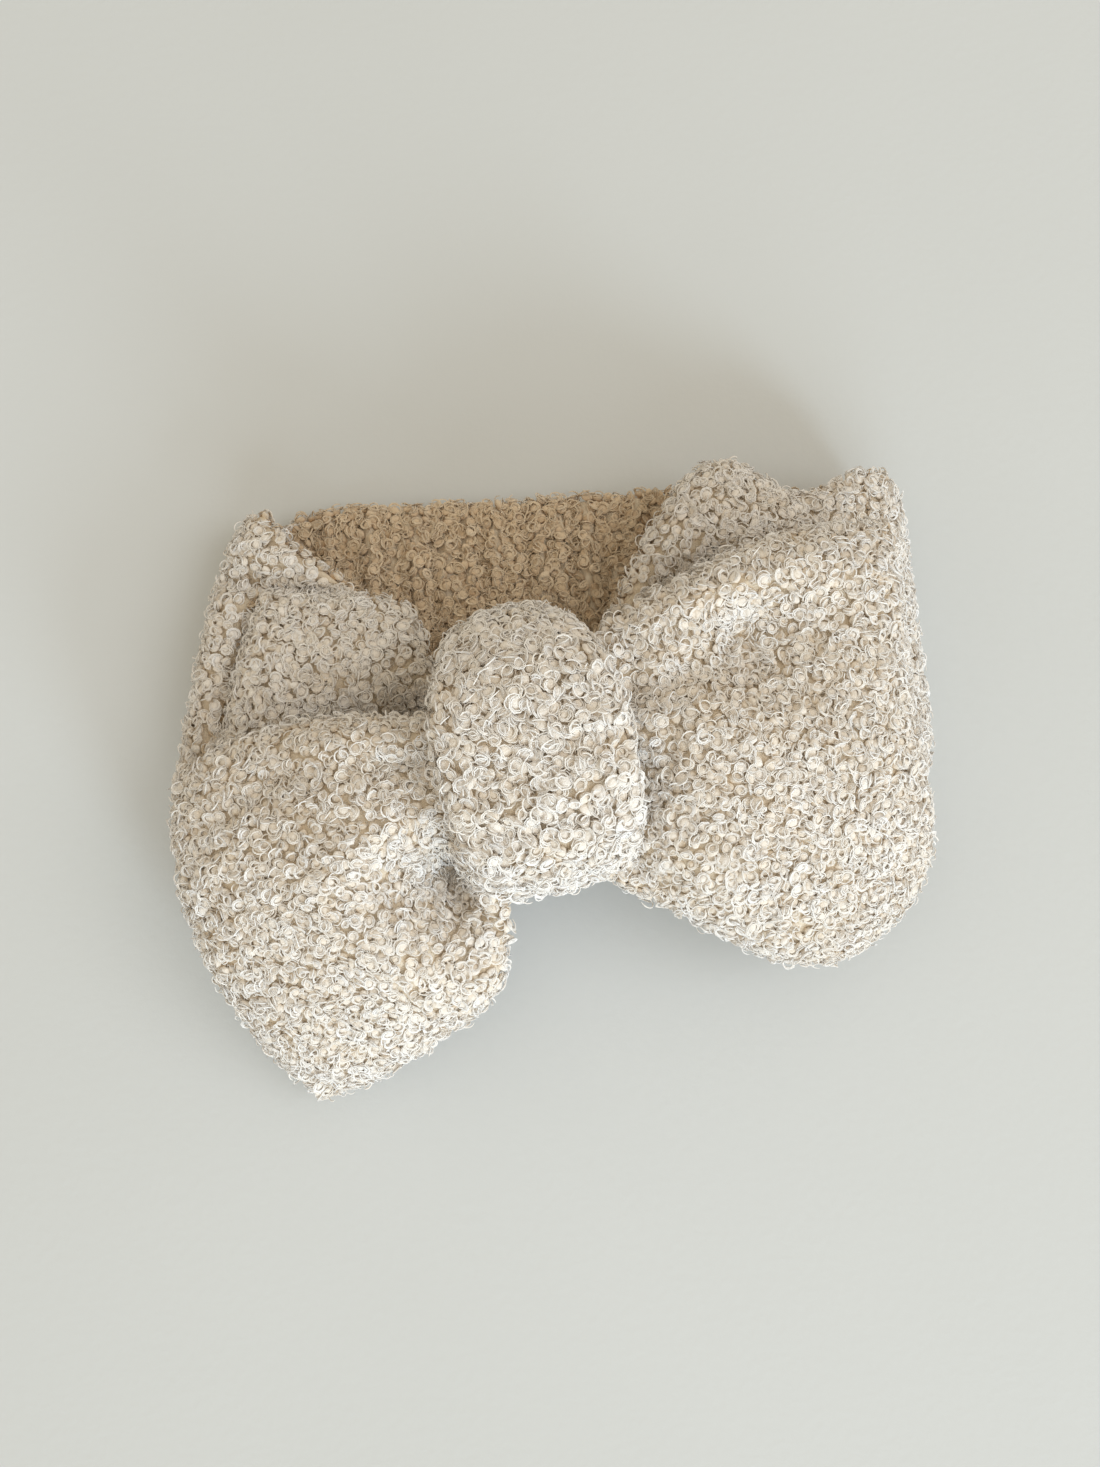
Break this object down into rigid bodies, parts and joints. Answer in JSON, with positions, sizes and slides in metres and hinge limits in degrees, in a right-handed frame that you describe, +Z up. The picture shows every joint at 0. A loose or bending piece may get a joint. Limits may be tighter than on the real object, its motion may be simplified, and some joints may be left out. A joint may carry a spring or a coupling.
{
  "type": "spa headband",
  "caption": "Wide plush spa headband with a doubled fabric band, a centre knot and an extra-large bow with two hollow loops.",
  "frame": {"origin": "on the table, under the middle of the whole headband's bounding box as it lies flat", "axes": "+X along the band to the wearer's left-hand side of the bow, +Y across the band towards its V notch, +Z up from the table"},
  "size_m": [0.2518, 0.212, 0.0843],
  "materials": {
    "boucle": "ivory curly boucle pile",
    "boucle_lining": "ivory curly boucle pile, inner face",
    "seam_allowance": "turned-in knit backing",
    "elastic": "white knitted elastic",
    "thread": "ivory sewing thread"
  },
  "bodies": {
    "back_band": {"back_band_outer": "boucle", "back_band_inner": "boucle_lining", "back_elastic": "elastic", "elastic_tack_left": "thread", "elastic_tack_right": "thread", "back_top_seam": "seam_allowance", "back_bottom_seam": "seam_allowance", "left_fold_outer": "boucle", "left_fold_lining": "boucle_lining", "right_fold_outer": "boucle", "right_fold_lining": "boucle_lining"},
    "front_band": {"front_band_outer": "boucle", "front_band_lining": "boucle_lining", "front_top_seam_left": "seam_allowance", "front_bottom_seam_left": "seam_allowance", "front_top_seam_right": "seam_allowance", "front_bottom_seam_right": "seam_allowance", "knot_wrap": "boucle", "knot_seam": "seam_allowance", "bow_center": "boucle", "gather_thread": "thread", "bow_tack": "thread"},
    "left_loop": {"left_loop_front": "boucle", "left_loop_back": "boucle", "left_loop_seam": "seam_allowance"},
    "right_loop": {"right_loop_front": "boucle", "right_loop_back": "boucle", "right_loop_seam": "seam_allowance"}
  },
  "joints": [
    {"name": "band_open", "type": "slide", "parent": "back_band", "child": "front_band", "axis": [0, 0, 1], "range_m": [0, 0.035], "deforming": ["left_fold_outer", "left_fold_lining", "right_fold_outer", "right_fold_lining"]},
    {"name": "left_loop_lift", "type": "hinge", "parent": "front_band", "child": "left_loop", "pos_m": [-0.04539, -0.01827, 0.056], "axis": [-0.4147, 0.91, 0], "range_deg": [0, 45]},
    {"name": "right_loop_lift", "type": "hinge", "parent": "front_band", "child": "right_loop", "pos_m": [0.03121, 0.00723, 0.056], "axis": [0.1045, -0.9945, 0], "range_deg": [0, 45]}
  ]
}
